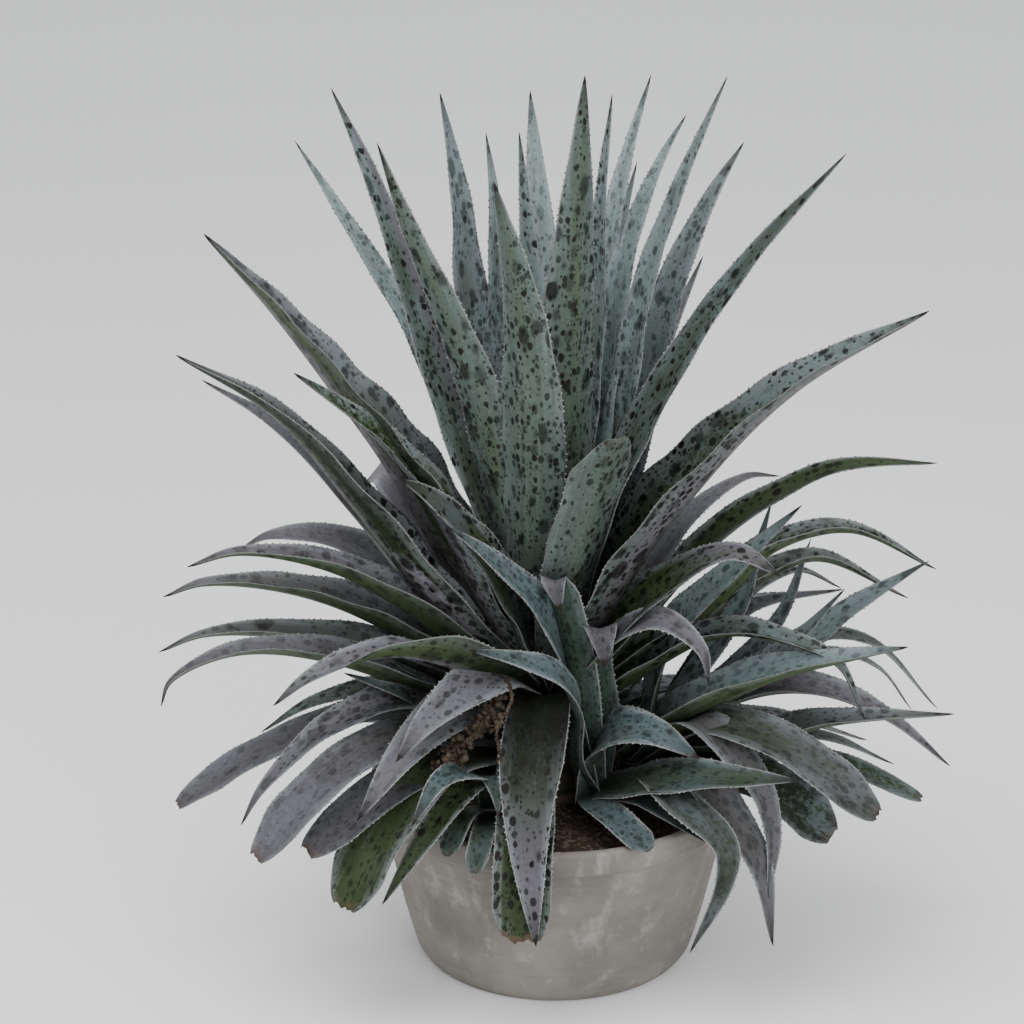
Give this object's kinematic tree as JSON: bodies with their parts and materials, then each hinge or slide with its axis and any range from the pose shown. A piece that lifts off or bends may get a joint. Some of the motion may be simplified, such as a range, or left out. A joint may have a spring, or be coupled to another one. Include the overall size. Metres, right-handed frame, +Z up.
{
  "type": "potted mangave",
  "caption": "Clump-forming mangave with a tall heart of spotted toothed leaves, arching lower leaves and side rosettes, in a plain low clay pot.",
  "frame": {"origin": "middle of the pot's foot, on the surface that it stands on", "axes": "+Z up along the pot's axis, +X the plant's right and +Y its back, as it is seen from the front"},
  "size_m": [0.8011, 0.6056, 0.927],
  "materials": {
    "pot": "matte",
    "soil": "matte",
    "stem": "matte",
    "dried": "matte",
    "blade_blue": "satin",
    "blade_lavender": "satin",
    "blade_teal": "satin",
    "blade_green": "satin"
  },
  "bodies": {
    "root": {"pot": "pot", "soil": "soil", "main_stem": "stem", "heart_leaves": "blade_blue", "right_rosette": "blade_lavender", "front_pup": "blade_teal", "left_front_pup": "blade_teal", "left_pup": "blade_teal", "back_pup": "blade_teal", "leaf_right_high": "blade_blue", "leaf_right_broad": "blade_blue", "leaf_right_green": "blade_green", "leaf_right_inner": "blade_lavender", "leaf_front_short": "blade_blue", "leaf_right_front": "blade_green", "leaf_right_arch_1": "blade_lavender", "leaf_right_arch_2": "blade_lavender", "leaf_right_arch_3": "blade_lavender", "leaf_right_drooping": "blade_lavender", "leaf_right_lavender": "blade_lavender", "leaf_left_front_1": "blade_teal", "leaf_left_high_1": "blade_blue", "leaf_left_high_2": "blade_lavender", "leaf_left_1": "blade_green", "leaf_left_2": "blade_lavender", "leaf_left_inner_1": "blade_lavender", "leaf_left_inner_2": "blade_lavender", "leaf_left_arch_1": "blade_lavender", "leaf_left_arch_2": "blade_lavender", "leaf_left_arch_3": "blade_lavender", "leaf_left_arch_4": "blade_lavender", "leaf_left_arch_5": "blade_lavender", "leaf_left_toothed": "blade_lavender", "leaf_left_low_1": "blade_lavender", "leaf_left_low_2": "blade_lavender", "leaf_left_low_3": "blade_lavender", "leaf_left_low_4": "blade_lavender", "leaf_left_low_5": "blade_lavender", "leaf_front_low_1": "blade_green", "leaf_front_low_2": "blade_green", "leaf_front_lavender_1": "blade_lavender", "leaf_front_lavender_2": "blade_lavender", "leaf_front_hanging_1": "blade_lavender", "leaf_front_hanging_2": "blade_green", "leaf_back_1": "blade_lavender", "leaf_back_2": "blade_lavender", "leaf_back_3": "blade_lavender", "leaf_back_4": "blade_lavender", "leaf_back_5": "blade_lavender", "leaf_back_6": "blade_lavender", "leaf_back_7": "blade_lavender", "leaf_back_8": "blade_lavender", "leaf_back_9": "blade_lavender", "leaf_back_10": "blade_lavender", "leaf_back_11": "blade_lavender", "leaf_back_12": "blade_blue", "leaf_back_13": "blade_blue", "leaf_back_14": "blade_blue", "leaf_back_15": "blade_blue", "dried_flower_remains": "dried"}
  },
  "joints": []
}
